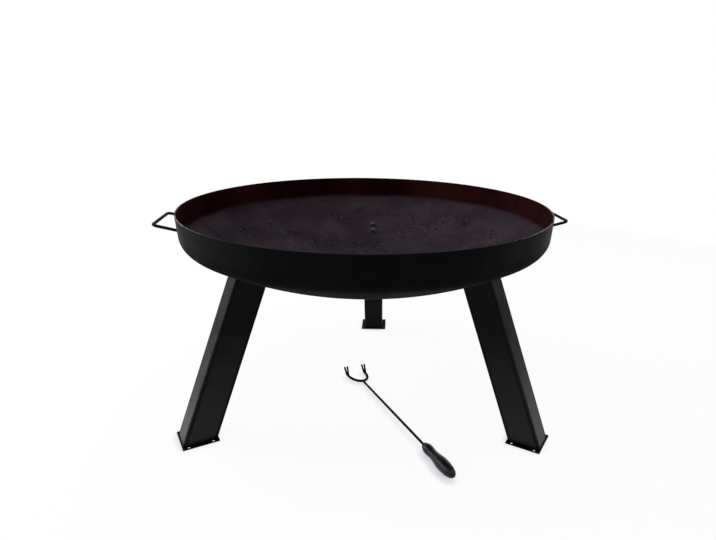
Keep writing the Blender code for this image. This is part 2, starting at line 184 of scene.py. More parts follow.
# Legs: painted light that grows towards the ground, over this stretch below the seat; the mesh attribute that
# marks the inner faces, which get painted shade and none of that painted light
PAINTED_LIGHT_STARTS = -0.06
PAINTED_LIGHT_FULL = -0.34
PAINTED_SHADE_MARK = "shaded_inside"

# Rolling grain: the mesh attributes that hold the distance round the tube, in metres, and the place across
# each flat, which runs to and fro between 0 and 1; the share of a flat that lies next to an edge; how many
# streaks fit in one metre, and how far they are drawn out along the leg
AROUND_MARK = "around"
ACROSS_MARK = "across"
# EDGE_SHARE also sets how wide the painted dark reflection along each flat's edges is
EDGE_SHARE = 0.11
STREAKS = 430.0
STREAK_STRETCH = 0.03

# Bowl: below the band, over this stretch of height, the coat is dulled by the fire's heat; inside, the wall's
# tint gives way to the bottom's over the second one
DULL_BELOW = 0.404
SATIN_ABOVE = 0.436
BOTTOM_BELOW = 0.4145
WALL_ABOVE = 0.4265

# Inside of the bowl: distances from its axis beyond which none of this lies, and within which all of it may
SOOT_REACH = (0.26, 0.05)
DUST_REACH = (0.36, 0.24)
STREWN_REACH = (0.385, 0.33)

# Rim's edge: where its painted highlight starts and is full, by the distance from the middle plane, and where
# it is full and ends, by Y
HIGHLIGHT_BESIDE = (0.22, 0.37)
HIGHLIGHT_IN_FRONT = (-0.03, 0.04)

# Coats: the darker and the lighter of each one's clouds, and how much lighter rubbed places are
BAND_COAT = ((0.0067, 0.0068, 0.0067), (0.0098, 0.0101, 0.0098))
LEG_COAT = ((0.0053, 0.0053, 0.0054), (0.0080, 0.0080, 0.0082))
FOOT_COAT = ((0.0021, 0.0021, 0.0023), (0.0038, 0.0038, 0.0041))
ROD_COAT = ((0.0032, 0.0032, 0.0035), (0.0060, 0.0060, 0.0066))
HANDLE_COAT = ((0.0060, 0.0060, 0.0061), (0.0105, 0.0105, 0.0107))
RUBBED_LIGHTER = 2.2

# Legs: what lies over their coat: grain streaks, painted shade, a painted dark reflection, painted light and
# wear
LEG_STREAK = (0.0155, 0.0155, 0.0155)
# Painted shade on the inner faces, which lie under the bowl
LEG_PAINTED_SHADE = (0.0018, 0.0018, 0.0018)
# Painted dark reflection along the edges of each flat
LEG_EDGE_PAINTED_REFLECTION = (0.0018, 0.0018, 0.0019)
# Painted light: the colour the legs take on towards the ground
LEG_PAINTED_LIGHT = (0.0250, 0.0250, 0.0243)
LEG_WORN = (0.060, 0.060, 0.061)

# Inside of the bowl: clouds of the bottom and of the wall, and what lies on the bottom
BOTTOM_TINT = ((0.0204, 0.0136, 0.0192), (0.0350, 0.0254, 0.0328))
WALL_TINT = ((0.0085, 0.0013, 0.0017), (0.0250, 0.0050, 0.0058))
SOOT = (0.0104, 0.0091, 0.0104)
ASH_DUST = (0.100, 0.094, 0.098)
CRUMB = (0.0026, 0.0021, 0.0025)
ASH_SPECK = (0.26, 0.24, 0.25)

# Rim's edge, steel (clean and dulled) and grip
RIM_COAT = (0.0095, 0.0095, 0.0105)
# Painted highlight on the rim's cut edge
RIM_PAINTED_HIGHLIGHT = (0.220, 0.210, 0.206)
DARK_STEEL = ((0.045, 0.043, 0.043), (0.022, 0.020, 0.021))
COLLAR_STEEL = ((0.017, 0.016, 0.017), (0.009, 0.009, 0.010))
DULLED_ZINC = ((0.15, 0.15, 0.155), (0.065, 0.060, 0.060))
STEEL_SOOT = (0.010, 0.009, 0.010)
GRIP_TINT = ((0.0050, 0.0050, 0.0095), (0.0085, 0.0085, 0.0140))
GRIP_SCUFF = (0.08, 0.08, 0.092)

# The photograph's camera, as solved from the rim, the legs and the feet
PHOTO_WIDTH = 716.0
FOCAL_PIXELS = 545.3
CENTRE_PIXEL = 404.2
SENSOR = 36.0
CAMERA_PLACE = Vector((0.0534, BOWL_AXIS_Y - 1.2118, 0.7048))
CAMERA_YAW = math.radians(1.413)
CAMERA_PITCH = math.radians(17.774)
CAMERA_ROLL = math.radians(1.356)

# Floor: camera and gloss see it nearly white by its own glow, and wholly so far off; the light that it throws
# back comes from the part near the object. A pale shade lies where something touches it.
FLOOR_SIZE = 40.0
WHITE = (1.0, 1.0, 1.0)
FLOOR_SEEN = (0.96, 0.96, 0.97)
FLOOR_GLOW = 0.94
GLOW_REACH = (0.9, 2.4)
NEAR_BOUNCE = (0.85, 0.85, 0.85)
FAR_BOUNCE = (0.05, 0.05, 0.05)
BOUNCE_REACH = (0.50, 1.25)
CONTACT_LIGHT = (0.45, 0.40, 0.80)
CONTACT_REACH = 0.017
CONTACT_SHADE = (0.52, 0.53, 0.60)
CONTACT_SAMPLES = 16

# Light from all round on matt surfaces, and the lamps: name, place, size and power
WORLD_LIGHT = 0.32
LAMPS = (
    ("left_box", (-2.6, 0.5, 1.5), (1.6, 2.0), 62.0),
    ("right_box", (2.6, 0.8, 1.5), (1.4, 2.0), 5.0),
    ("top_box", (0.0, -0.2, 3.0), (2.2, 2.2), 34.0),
)
LAMP_TARGET = Vector((0.0, 0.0, 0.3))

# What follows from the sizes above, as the solids have it
BAND_LEAN = math.atan2(BAND_TAPER, BAND_DEPTH)
KNUCKLE_R = RIM_RADIUS - BAND_TAPER - KNUCKLE_RADIUS * math.cos(BAND_LEAN)
KNUCKLE_Z = RIM_HEIGHT - BAND_DEPTH + KNUCKLE_RADIUS * math.sin(BAND_LEAN)
DISH_CENTRE_Z = KNUCKLE_Z + math.sqrt((DISH_RADIUS - KNUCKLE_RADIUS) ** 2 - KNUCKLE_R ** 2)
DISH_EDGE_ANGLE = math.atan2(KNUCKLE_Z - DISH_CENTRE_Z, KNUCKLE_R)
LEG_LEAN = math.asin(LEG_SEAT_RADIUS / DISH_RADIUS)
LEG_SEAT_Z = DISH_CENTRE_Z - math.sqrt(DISH_RADIUS ** 2 - LEG_SEAT_RADIUS ** 2)
TUBE_TOP = -(2.0 * GAP + TOP_PLATE)
TUBE_BASE = FOOT_PLATE + GAP


def camera():
    """The photograph's own view."""
    data = bpy.data.cameras.new("camera")
    data.sensor_width = SENSOR
    data.lens = FOCAL_PIXELS / PHOTO_WIDTH * SENSOR
    data.shift_x = (PHOTO_WIDTH / 2.0 - CENTRE_PIXEL) / PHOTO_WIDTH
    obj = bpy.data.objects.new("camera", data)
    bpy.context.scene.collection.objects.link(obj)
    level = math.cos(CAMERA_PITCH)
    look = Vector((math.sin(CAMERA_YAW) * level, math.cos(CAMERA_YAW) * level, -math.sin(CAMERA_PITCH)))
    roll = Matrix.Rotation(CAMERA_ROLL, 3, "Z").to_quaternion()
    obj.rotation_mode = "QUATERNION"
    obj.rotation_quaternion = look.to_track_quat("-Z", "Y") @ roll
    obj.location = CAMERA_PLACE
    bpy.context.scene.camera = obj


class Tree:
    """A node tree under construction; most methods add one kind of node and return its output."""

    def __init__(self, tree):
        self.tree = tree

    def node(self, kind, **settings):
        made = self.tree.nodes.new(kind)
        for key, value in settings.items():
            setattr(made, key, value)
        return made

    def connect(self, value, socket):
        """Link an output to a socket, or set the socket to a plain value or colour."""
        if isinstance(value, bpy.types.NodeSocket):
            self.tree.links.new(value, socket)
        elif socket.type == "RGBA":
            socket.default_value = (*value, 1.0)
        else:
            socket.default_value = value

    def feed(self, node, **inputs):
        """Link or set a node's inputs by name, with _ for a space."""
        for key, value in inputs.items():
            self.connect(value, node.inputs[key.replace("_", " ")])
        return node

    def ramp(self, value, low, high, out_low=0.0, out_high=1.0):
        """Value from low to high, eased and mapped to out_low..out_high."""
        node = self.node("ShaderNodeMapRange", interpolation_type="SMOOTHSTEP")
        self.feed(node, Value=value, From_Min=low, From_Max=high, To_Min=out_low, To_Max=out_high)
        return node.outputs[0]

    def math(self, operation, first, second=0.0):
        node = self.node("ShaderNodeMath", operation=operation)
        self.connect(first, node.inputs[0])
        self.connect(second, node.inputs[1])
        return node.outputs[0]

    def total(self, first, second):
        return self.math("ADD", first, second)

    def product(self, first, second):
        return self.math("MULTIPLY", first, second)

    def left_of(self, share):
        """What a share leaves of one."""
        return self.math("SUBTRACT", 1.0, share)

    def mix(self, share, first, second):
        """Colour from first to second; each is a colour or an output."""
        node = self.node("ShaderNodeMix", data_type="RGBA")
        self.connect(share, node.inputs[0])
        self.connect(first, node.inputs[6])
        self.connect(second, node.inputs[7])
        return node.outputs[2]

    def seen_directly(self):
        """1 for what the camera sees, also in gloss or through glass; 0 for the light on matt surfaces."""
        rays = self.node("ShaderNodeLightPath").outputs
        gloss = self.math("MAXIMUM", rays["Is Glossy Ray"], rays["Is Transmission Ray"])
        return self.math("MAXIMUM", rays["Is Camera Ray"], gloss)


class Finish(Tree):
    """A piece's material under construction, in metres on the piece itself."""

    def __init__(self, name):
        self.material = bpy.data.materials.new(name)
        self.material.use_nodes = True
        super().__init__(self.material.node_tree)
        self.shader = self.tree.nodes["Principled BSDF"]
        self.place = self.node("ShaderNodeTexCoord").outputs["Object"]

    def noise(self, scale, detail=4.0, roughness=0.55, place=None):
        """Noise in metres: scale is how many blotches fit in one metre."""
        texture = self.node("ShaderNodeTexNoise")
        place = self.place if place is None else place
        self.feed(texture, Vector=place, Scale=scale, Detail=detail, Roughness=roughness)
        return texture.outputs["Fac"]

    def spots(self, scale):
        """Distance to the nearest of many scattered points."""
        texture = self.feed(self.node("ShaderNodeTexVoronoi"), Vector=self.place, Scale=scale)
        return texture.outputs["Distance"]

    def parts(self):
        """X, Y and Z of the place on the piece."""
        return self.feed(self.node("ShaderNodeSeparateXYZ"), Vector=self.place).outputs

    def marked(self, mark):
        """The share that the mesh marks, 0 where it marks none."""
        return self.node("ShaderNodeAttribute", attribute_name=mark).outputs["Fac"]

    def radius(self):
        """Distance from the piece's own Z axis."""
        x, y, _ = self.parts()
        return self.math("SQRT", self.total(self.product(x, x), self.product(y, y)))

    def ragged(self, distance, depth, scale, detail):
        """A distance that wanders by depth both ways, so that what it limits ends in a ragged edge."""
        return self.total(distance, self.ramp(self.noise(scale, detail), 0.2, 0.8, -depth, depth))

    def layer(self, colour, over, share, strength):
        """A colour with another one laid over it, where the share says and at that strength."""
        return self.mix(self.product(share, strength), colour, over)

    def bump(self, *layers):
        """Layers of (height output, depth in metres), stacked into the shader's normal."""
        normal = None
        for height, depth in layers:
            node = self.feed(self.node("ShaderNodeBump"), Height=height, Distance=depth, Strength=1.0)
            if normal:
                self.connect(normal, node.inputs["Normal"])
            normal = node.outputs[0]
        self.connect(normal, self.shader.inputs["Normal"])

    def done(self, colour, roughness, metallic=0.0, specular=0.5):
        self.feed(self.shader, Base_Color=colour, Roughness=roughness, Metallic=metallic,
                  Specular_IOR_Level=specular)
        return self.material


def coat(name, colours, roughness, rub):
    """Matt heat-proof coat, still open: fine grain, faint clouds and rubbed places."""
    f = Finish(name)
    dark, light = colours
    clouds = f.ramp(f.noise(9.0, detail=5.0), 0.35, 0.68)
    grain = f.noise(1500.0, detail=2.0)
    rubbed = f.ramp(f.noise(38.0, detail=6.0, roughness=0.65), 0.60, 0.74, 0.0, rub)
    colour = f.layer(dark, light, clouds, strength=0.8)
    colour = f.mix(rubbed, colour, tuple(RUBBED_LIGHTER * c for c in light))
    rough = f.total(f.ramp(clouds, 0.0, 1.0, roughness + 0.05, roughness - 0.04),
                    f.ramp(grain, 0.3, 0.7, -0.03, 0.03))
    f.bump((grain, 0.00012), (f.noise(260.0, detail=3.0), 0.00015))
    return f, colour, rough


def coat_finish(name, colours, roughness, specular, rub):
    """The coat as it is on the rods and the feet."""
    f, colour, rough = coat(name, colours, roughness, rub)
    return f.done(colour, rough, specular=specular)


def outside_finish():
    """The coat on the bowl's outside: satin on the band, dull below it."""
    f, colour, rough = coat("outside_coat", BAND_COAT, roughness=0.52, rub=0.2)
    height = f.ragged(f.parts()[2], depth=0.004, scale=13.0, detail=5.0)
    dulled = f.ramp(height, DULL_BELOW, SATIN_ABOVE, 0.29, 0.0)
    return f.done(colour, f.total(rough, dulled), specular=0.018)


def rolled_streaks(f):
    """Fine streaks that rolling leaves along a leg's tube: 0 on the dark ones, 1 on the pale ones."""
    rolled = f.node("ShaderNodeCombineXYZ")
    f.feed(rolled, X=f.marked(AROUND_MARK), Y=f.product(f.parts()[2], STREAK_STRETCH))
    return f.ramp(f.noise(STREAKS, roughness=0.7, place=rolled.outputs[0]), 0.36, 0.64)


def leg_finish():
    """The coat on the legs: rolling grain, a painted dark reflection along the edges, painted shade on the
    inner faces, rubbed corners, and painted light towards the ground.
    """
    f, colour, rough = coat("leg_coat", LEG_COAT, roughness=0.68, rub=0.3)
    streaks = rolled_streaks(f)
    colour = f.layer(colour, LEG_STREAK, streaks, strength=0.40)
    across = f.marked(ACROSS_MARK)
    near_edge = f.ramp(f.math("MINIMUM", across, f.left_of(across)), 0.0, EDGE_SHARE, 1.0, 0.0)
    # Painted shade: the inner faces under the bowl are darkened and kept free of the painted light
    shaded_inside = f.marked(PAINTED_SHADE_MARK)
    colour = f.layer(colour, LEG_PAINTED_SHADE, shaded_inside, strength=0.9)
    # Painted light: lighter towards the ground, where the bowl's shade ends and the floor's light falls
    height = f.ragged(f.parts()[2], depth=0.02, scale=30.0, detail=5.0)
    painted_light = f.product(f.ramp(height, PAINTED_LIGHT_FULL, PAINTED_LIGHT_STARTS, 1.0, 0.0),
                      f.left_of(f.math("MAXIMUM", shaded_inside, near_edge)))
    colour = f.mix(f.product(painted_light, f.ramp(streaks, 0.0, 1.0, 1.0, 0.84)), colour, LEG_PAINTED_LIGHT)
    # Painted reflection: a dark line along each flat's edges, where the rounded corner reflects dark
    colour = f.layer(colour, LEG_EDGE_PAINTED_REFLECTION, near_edge, strength=0.7)
    corner = f.product(f.marked(CORNER_MARK), f.ramp(f.noise(90.0, detail=5.0, roughness=0.65), 0.30, 0.62))
    colour = f.layer(colour, LEG_WORN, corner, strength=CORNER_WEAR)
    rough = f.math("SUBTRACT", rough, f.product(painted_light, 0.44))
    rough = f.total(rough, f.ramp(streaks, 0.0, 1.0, -0.06, 0.06))
    return f.done(colour, rough, specular=0.08)


def inside_finish():
    """Inside of the bowl: heat-tinted red-brown wall, greyer bottom with ash dust and soot."""
    f = Finish("bowl_inside")
    edge = f.ragged(f.radius(), depth=0.009, scale=14.0, detail=4.0)
    height = f.ragged(f.parts()[2], depth=0.003, scale=11.0, detail=4.0)
    on_wall = f.ramp(height, BOTTOM_BELOW, WALL_ABOVE)
    clouds = f.ramp(f.noise(11.0, detail=6.0, roughness=0.6), 0.32, 0.7)
    bottom = f.mix(clouds, *BOTTOM_TINT)
    soot = f.product(f.ramp(edge, *SOOT_REACH), f.ramp(f.noise(17.0, detail=5.0), 0.38, 0.62))
    bottom = f.layer(bottom, SOOT, soot, strength=0.6)
    dust = f.product(f.ramp(f.noise(55.0, detail=8.0, roughness=0.7), 0.58, 0.72), f.ramp(edge, *DUST_REACH))
    bottom = f.layer(bottom, ASH_DUST, dust, strength=0.30)
    strewn = f.product(f.ramp(f.noise(9.0, detail=3.0), 0.40, 0.60), f.ramp(edge, *STREWN_REACH))
    crumbs = f.product(f.ramp(f.spots(48.0), 0.26, 0.15), strewn)
    bottom = f.layer(bottom, CRUMB, crumbs, strength=0.85)
    specks = f.product(f.ramp(f.spots(110.0), 0.18, 0.08), strewn)
    bottom = f.layer(bottom, ASH_SPECK, specks, strength=0.50)
    wall = f.mix(f.ramp(f.noise(7.0), 0.3, 0.7), *WALL_TINT)
    colour = f.mix(on_wall, bottom, wall)
    grain = f.noise(1300.0, detail=2.0)
    flakes = f.ramp(f.noise(70.0, detail=5.0), 0.5, 0.75)
    rough = f.total(f.ramp(on_wall, 0.0, 1.0, 0.66, 0.80), f.ramp(grain, 0.3, 0.7, -0.04, 0.04))
    f.bump((grain, 0.00014), (f.noise(190.0), 0.0002), (flakes, 0.00025))
    return f.done(colour, rough, specular=0.012)


def rim_finish():
    """The sheet's cut edge at the rim, with a painted highlight in front, on the side of each handle."""
    f = Finish("rim_edge")
    x, y, _ = f.parts()
    # Painted highlight: a light line on the front of the cut edge, beside each handle
    beside = f.ramp(f.math("ABSOLUTE", x), *HIGHLIGHT_BESIDE)
    in_front = f.ramp(y, *HIGHLIGHT_IN_FRONT, 1.0, 0.0)
    patches = f.ramp(f.noise(60.0, detail=6.0, roughness=0.7), 0.36, 0.60)
    painted_highlight = f.product(patches, f.product(beside, in_front))
    colour = f.mix(painted_highlight, RIM_COAT, RIM_PAINTED_HIGHLIGHT)
    rough = f.ramp(painted_highlight, 0.0, 1.0, 0.80, 0.40)
    f.bump((f.noise(900.0, detail=3.0), 0.0001))
    return f.done(colour, rough, specular=0.05)


def steel_finish(name, colours, roughness, soot):
    """Fastener steel, dulled by heat, with soot in patches."""
    f = Finish(name)
    patches = f.ramp(f.noise(330.0, detail=5.0), 0.36, 0.62)
    colour = f.mix(patches, *colours)
    dirty = f.ramp(f.noise(120.0, detail=5.0), 0.45, 0.65, 0.0, soot)
    colour = f.mix(dirty, colour, STEEL_SOOT)
    rough = f.total(f.ramp(patches, 0.0, 1.0, roughness, roughness + 0.16), f.product(dirty, 0.2))
    f.bump((f.noise(1900.0, detail=2.0), 0.00006))
    return f.done(colour, rough, metallic=f.left_of(dirty))


def grip_finish():
    """Satin blue-black grip with a fine pebbled surface and a few scuffs."""
    f = Finish("grip")
    clouds = f.ramp(f.noise(60.0), 0.3, 0.7)
    colour = f.mix(clouds, *GRIP_TINT)
    scuffs = f.ramp(f.noise(420.0, detail=5.0, roughness=0.6), 0.64, 0.74, 0.0, 0.35)
    colour = f.mix(scuffs, colour, GRIP_SCUFF)
    rough = f.total(f.ramp(clouds, 0.0, 1.0, 0.30, 0.36), f.product(scuffs, 0.25))
    f.bump((f.noise(2300.0, detail=2.0), 0.00008))
    return f.done(colour, rough, specular=0.20)


def new_piece(name, bm, body, finishes, place, replaced=()):
    """Turn a bmesh in the frame place into a piece that rides on its body; only its origin stays there."""
    origin = place.to_translation()
    bm.transform(Matrix.Translation(-origin) @ place)
    mesh = bpy.data.meshes.new(name)
    bm.to_mesh(mesh)
    bm.free()
    mesh.shade_smooth()
    mesh.set_sharp_from_angle(angle=SMOOTH_ANGLE)
    for finish in finishes:
        mesh.materials.append(finish)
    obj = bpy.data.objects.new(name, mesh)
    bpy.context.scene.collection.objects.link(obj)
    obj.location = origin
    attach(obj, body)
    if replaced:
        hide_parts(*replaced)
    return obj


def evaluated(obj):
    """Apply a piece's modifiers to its mesh and drop its helpers."""
    helpers = [m.object for m in obj.modifiers if m.type == "BOOLEAN"]
    depsgraph = bpy.context.evaluated_depsgraph_get()
    mesh = bpy.data.meshes.new_from_object(obj.evaluated_get(depsgraph))
    old = obj.data
    name = old.name
    obj.modifiers.clear()
    obj.data = mesh
    bpy.data.meshes.remove(old)
    mesh.name = name
    for helper in helpers:
        bpy.data.objects.remove(helper, do_unlink=True)


def take_in(bm, other):
    """Move another bmesh's geometry into bm."""
    mesh = bpy.data.meshes.new("taken_in")
    other.to_mesh(mesh)
    other.free()
    bm.from_mesh(mesh)
    bpy.data.meshes.remove(mesh)


def arc(centre, radius, start, end, steps):
    """Points along an arc in a plane, both ends included."""
    angles = [start + (end - start) * i / steps for i in range(steps + 1)]
    return [(centre[0] + radius * math.cos(a), centre[1] + radius * math.sin(a)) for a in angles]


def circle(radius, steps, centre=(0.0, 0.0)):
    return arc(centre, radius, 0.0, 2.0 * math.pi * (steps - 1) / steps, steps - 1)


def along(first, last, steps):
    """Points between two ends, both ends left out."""
    points = []
    for i in range(1, steps):
        share = i / steps
        points.append(tuple(a + (b - a) * share for a, b in zip(first, last)))
    return points


def rounded_rectangle(length_x, length_y, radius):
    """Outline with round corners and a support point just beside each round, so that flats stay flat."""
    points = []
    beside = radius * SUPPORT_SHARE
    for quarter, (sx, sy) in enumerate(((1, 1), (-1, 1), (-1, -1), (1, -1))):
        corner = (sx * (length_x / 2.0 - radius), sy * (length_y / 2.0 - radius))
        start = quarter * math.pi / 2.0
        rounding = arc(corner, radius, start, start + math.pi / 2.0, CORNER_STEPS)
        lead = (rounding[0][0] + beside * math.sin(start), rounding[0][1] - beside * math.cos(start))
        trail = (rounding[-1][0] - beside * math.cos(start), rounding[-1][1] - beside * math.sin(start))
        points += [lead] + rounding + [trail]
    return points


def corner_shares(count):
    """For each point of a rounded rectangle, 1 in the middle of a round, falling to 0 at the flats."""
    per_corner = count // 4
    middle = (per_corner - 1) / 2.0
    return [1.0 - abs(i % per_corner - middle) / middle for i in range(count)]


def turned(section, steps):
    """Spin a closed (radius, height) section about Z; points on the axis merge into one."""
    bm = bmesh.new()
    verts = [bm.verts.new((r, 0.0, z)) for r, z in section]
    pairs = zip(verts, verts[1:] + verts[:1])
    edges = [bm.edges.new(pair) for pair in pairs if pair[0].co.x > 0.0 or pair[1].co.x > 0.0]
    bmesh.ops.spin(bm, geom=verts + edges, axis=(0.0, 0.0, 1.0), cent=(0.0, 0.0, 0.0),
                   dvec=(0.0, 0.0, 0.0), angle=2.0 * math.pi, steps=steps, use_merge=True)
    bmesh.ops.remove_doubles(bm, verts=bm.verts, dist=1e-6)
    bmesh.ops.recalc_face_normals(bm, faces=bm.faces)
    return bm


def swept(path, radius_at, sides, closed=False):
    """Skin of round sections along a path of vectors; radius_at gives the radius at each point."""
    bm = bmesh.new()
    count = len(path)
    rings = []
    up = None
    for i, place in enumerate(path):
        ahead = path[(i + 1) % count] if closed or i + 1 < count else place
        behind = path[i - 1] if closed or i > 0 else place
        tangent = (ahead - behind).normalized()
        if up is None:
            up = tangent.orthogonal().normalized()
        up = (up - tangent * up.dot(tangent)).normalized()
        side = tangent.cross(up)
        ring = []
        for j in range(sides):
            angle = 2.0 * math.pi * j / sides
            ring.append(bm.verts.new(place + radius_at(i) * (math.cos(angle) * up + math.sin(angle) * side)))
        rings.append(ring)
    follows = list(zip(rings, rings[1:]))
    if closed:
        follows.append((rings[-1], rings[0]))
    for first, second in follows:
        for j in range(sides):
            bm.faces.new((first[j - 1], first[j], second[j], second[j - 1]))
    if not closed:
        bm.faces.new(rings[0])
        bm.faces.new(rings[-1])
    bmesh.ops.recalc_face_normals(bm, faces=bm.faces)
    return bm


def bowl_outline(offset):
    """The rim's point, and the section from there to the bottom; both moved outward by offset."""
    lean_r = math.cos(BAND_LEAN) * offset
    lean_z = math.sin(BAND_LEAN) * offset
    foot = (RIM_RADIUS - BAND_TAPER + lean_r, RIM_HEIGHT - BAND_DEPTH - lean_z)
    rim = (foot[0] + (RIM_HEIGHT - foot[1]) * math.tan(BAND_LEAN), RIM_HEIGHT)
    knuckle = arc((KNUCKLE_R, KNUCKLE_Z), KNUCKLE_RADIUS + offset, -BAND_LEAN, DISH_EDGE_ANGLE, KNUCKLE_STEPS)
    dish = arc((0.0, DISH_CENTRE_Z), DISH_RADIUS + offset, DISH_EDGE_ANGLE, -math.pi / 2.0, DISH_STEPS)
    bottom = (0.0, DISH_CENTRE_Z - DISH_RADIUS - offset)
    return rim, along(rim, knuckle[0], BAND_STEPS) + knuckle + dish[1:-1] + [bottom]


def bowl_place():
    return Matrix.Translation((0.0, BOWL_AXIS_Y, 0.0))


def leg_place(side):
    """Frame on the dish's outside: Z along the leg up into the bowl, X away from the bowl's axis."""
    angle = LEG_ANGLES[side]
    seat = Vector((LEG_SEAT_RADIUS * math.cos(angle), LEG_SEAT_RADIUS * math.sin(angle), LEG_SEAT_Z))
    turn = Matrix.Rotation(angle, 4, "Z") @ Matrix.Rotation(-LEG_LEAN, 4, "Y")
    return bowl_place() @ Matrix.Translation(seat) @ turn


def bore(piece, place):
    """Add the cut of one bolt hole along the place's Z axis."""
    drill = bmesh.new()
    bmesh.ops.create_cone(drill, cap_ends=True, segments=BOLT_HOLE_SIDES, radius1=BOLT_HOLE / 2.0,
                          radius2=BOLT_HOLE / 2.0, depth=DRILL_DEPTH, matrix=place)
    mesh = bpy.data.meshes.new("drill")
    drill.to_mesh(mesh)
    drill.free()
    helper = bpy.data.objects.new("drill", mesh)
    bpy.context.scene.collection.objects.link(helper)
    modifier = piece.modifiers.new("bore", "BOOLEAN")
    modifier.solver = "EXACT"
    modifier.object = helper


def make_bowl(outside, inside, edge):
    """Shell with a rounded rim edge, bored for the leg bolts; each of its surfaces has its own finish."""
    outer_rim, outer = bowl_outline(0.0)
    inner_rim, inner = bowl_outline(-SHELL)
    level = RIM_HEIGHT - RIM_EDGE_ROUND
    outer_middle = (outer_rim[0] - RIM_EDGE_ROUND, level)
    inner_middle = (inner_rim[0] + RIM_EDGE_ROUND, level)
    outer_edge = arc(outer_middle, RIM_EDGE_ROUND, math.pi / 2.0, 0.0, RIM_EDGE_STEPS)
    inner_edge = arc(inner_middle, RIM_EDGE_ROUND, math.pi, math.pi / 2.0, RIM_EDGE_STEPS)
    bm = turned(list(reversed(inner)) + inner_edge + outer_edge + outer, TURN_STEPS)
    edge_starts = RIM_HEIGHT - RIM_EDGE_ROUND * EDGE_FINISH_REACH
    for face in bm.faces:
        middle = face.calc_center_median()
        outward = Vector((middle.x, middle.y, 0.0))
        if middle.z > edge_starts:
            face.material_index = EDGE
        elif face.normal.dot(outward) < 0.0 or face.normal.z > FACES_UP:
            face.material_index = INSIDE
        else:
            face.material_index = OUTSIDE
    finishes = (outside, inside, edge)
    bowl = new_piece("bowl_shell", bm, "fire_bowl", finishes, bowl_place(), ("bowl",))
    for side in LEG_ANGLES:
        for x in (-BOLT_SPACING / 2.0, BOLT_SPACING / 2.0):
            bore(bowl, leg_place(side) @ Matrix.Translation((x, 0.0, 0.0)))
    evaluated(bowl)


def rippled(radius, path):
    """Radius along a weld bead, with one ripple after another and a little unevenness."""
    lengths = [0.0]
    for first, second in zip(path, path[1:]):
        lengths.append(lengths[-1] + (second - first).length)

    def at(i):
        phase = (lengths[i] / RIPPLE_LENGTH) % 1.0
        uneven = noise.noise(path[i] * UNEVEN_PLACES) * UNEVENNESS
        return radius * (1.0 + uneven - RIPPLE_DEPTH * phase)
    return at


def make_handle(side, angle, coated):
    """Bent rod whose ends butt on the band, each in a ring of weld."""
    turn = Matrix.Rotation(angle, 4, "Z")
    seat = Matrix.Translation((RIM_RADIUS, 0.0, RIM_HEIGHT - HANDLE_DROP))
    place = bowl_place() @ turn @ seat @ Matrix.Rotation(-HANDLE_RISE, 4, "Y")
    half = HANDLE_WIDTH / 2.0
    band = RIM_RADIUS - BAND_TAPER * HANDLE_DROP / BAND_DEPTH
    wall = math.sqrt(band ** 2 - half ** 2) - RIM_RADIUS
    bend_middle = (HANDLE_REACH - HANDLE_BEND, half - HANDLE_BEND)
    bend = arc(bend_middle, HANDLE_BEND, 0.0, math.pi / 2.0, HANDLE_BEND_STEPS)
    end = along(bend[-1], (wall, half), HANDLE_END_STEPS) + [(wall, half), (wall - SHELL / 2.0, half)]
    run = [(x, y, 0.0) for x, y in bend + end]
    mirrored = [(x, -y, z) for x, y, z in reversed(run)]
    bar = along((HANDLE_REACH, -half + HANDLE_BEND, 0.0), run[0], HANDLE_BAR_STEPS)
    path = [Vector(point) for point in mirrored + bar + run]
    rod = swept(path, lambda i: HANDLE_ROD / 2.0, HANDLE_SIDES)
    new_piece(side + "_handle_rod", rod, "fire_bowl", (coated,), place, (side + "_handle",))

    beads = bmesh.new()
    ring_radius = HANDLE_ROD / 2.0 + HANDLE_BEAD * HANDLE_BEAD_ROUND
    slope = half / band
    for sign in (-1.0, 1.0):
        ring = []
        for across, up in circle(ring_radius, HANDLE_BEAD_STEPS):
            out = wall - across * slope + HANDLE_BEAD * HANDLE_BEAD_OUT
            ring.append(Vector((out, sign * (half + across), up)))
        take_in(beads, swept(ring, rippled(HANDLE_BEAD, ring), BEAD_SIDES, closed=True))
    new_piece(side + "_handle_welds", beads, "fire_bowl", (coated,), place)


def ground_height(x, above):
    """Height in a leg's own axes of the level plane that lies that far above the ground, at that x."""
    return -(LEG_SEAT_Z - above + x * math.sin(LEG_LEAN)) / math.cos(LEG_LEAN)


